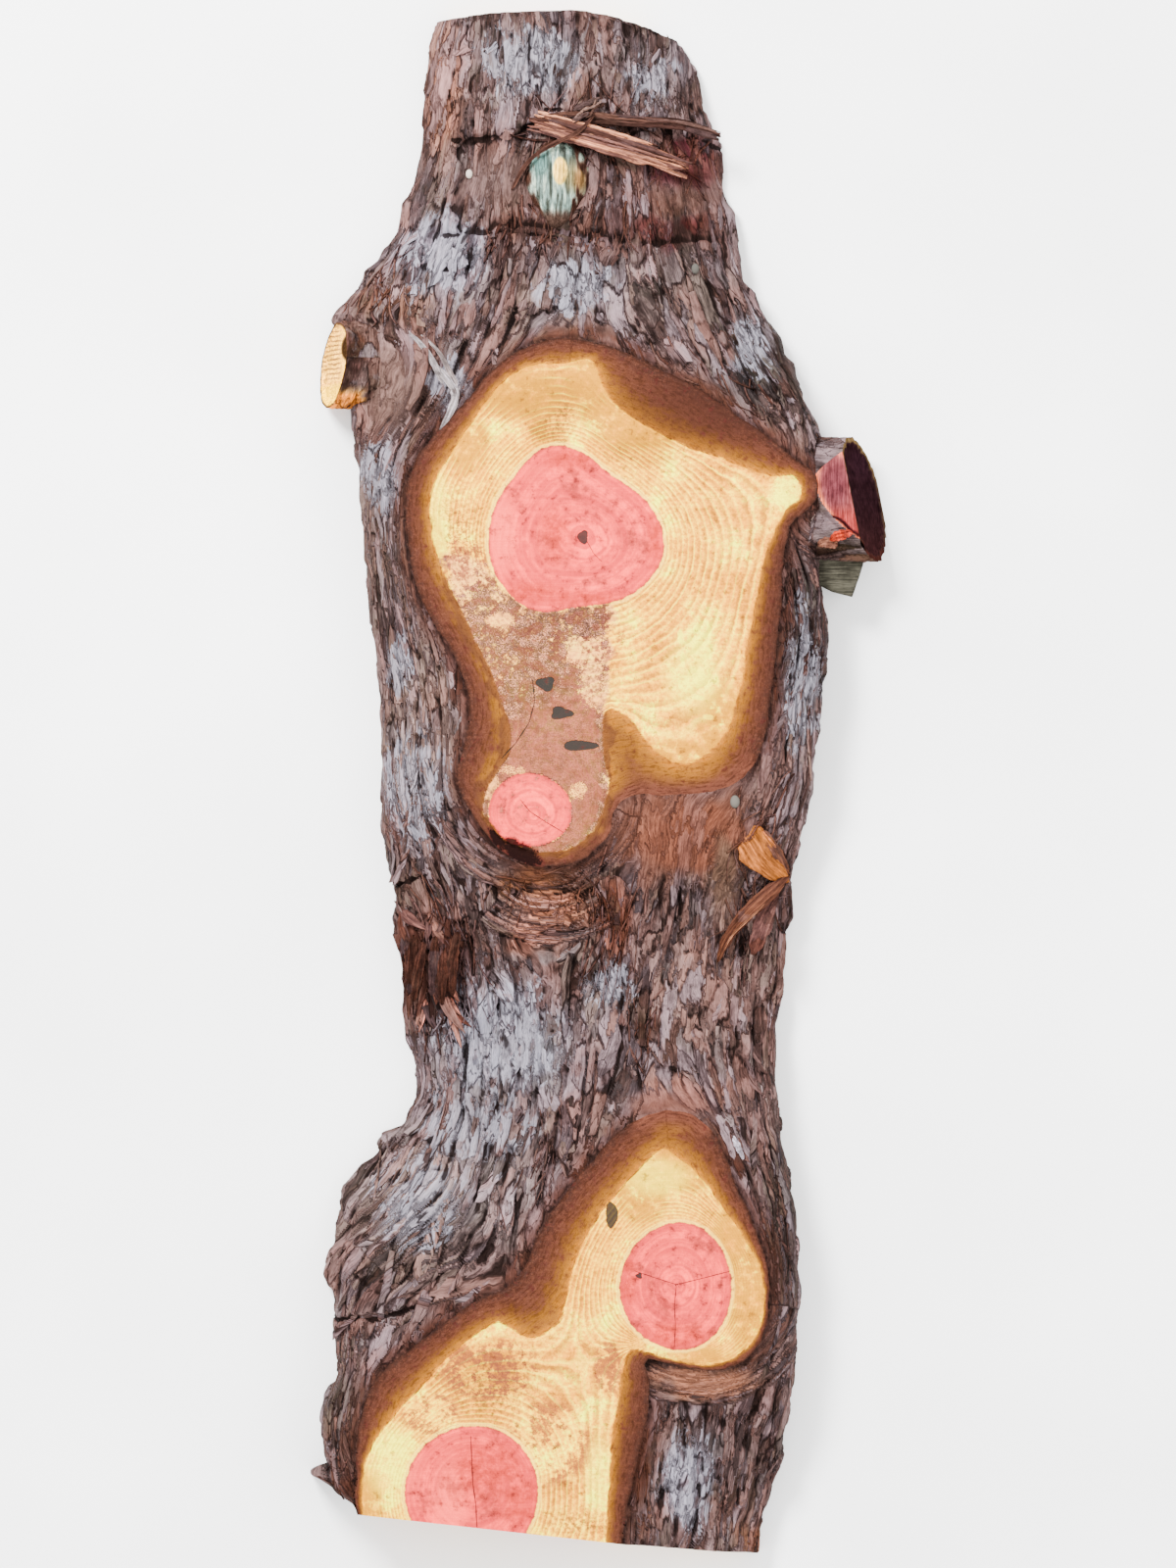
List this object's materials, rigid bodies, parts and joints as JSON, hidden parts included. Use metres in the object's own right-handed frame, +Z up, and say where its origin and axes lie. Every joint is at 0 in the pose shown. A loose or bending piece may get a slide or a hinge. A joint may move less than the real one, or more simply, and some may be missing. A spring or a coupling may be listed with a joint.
{
  "type": "live edge slab",
  "caption": "Knotty juniper slab sawn from the outside of a log: bark-covered front with two flat sawn windows round the knots, stringy live edges, cut branch stubs and a flat sawn back.",
  "frame": {"origin": "middle of the slab's box, on the sawn back that it lies on", "axes": "+Z up, out of the bark-covered front; +Y along the grain to the narrow end; +X to the side with the thick branch stub"},
  "size_m": [0.4497, 1.2007, 0.068],
  "materials": {
    "bark": "rough fibrous bark, dry and matt",
    "sawn_wood": "sanded bare wood, satin, cream sapwood round pink heartwood"
  },
  "bodies": {
    "root": {"slab": "bark"}
  },
  "joints": []
}
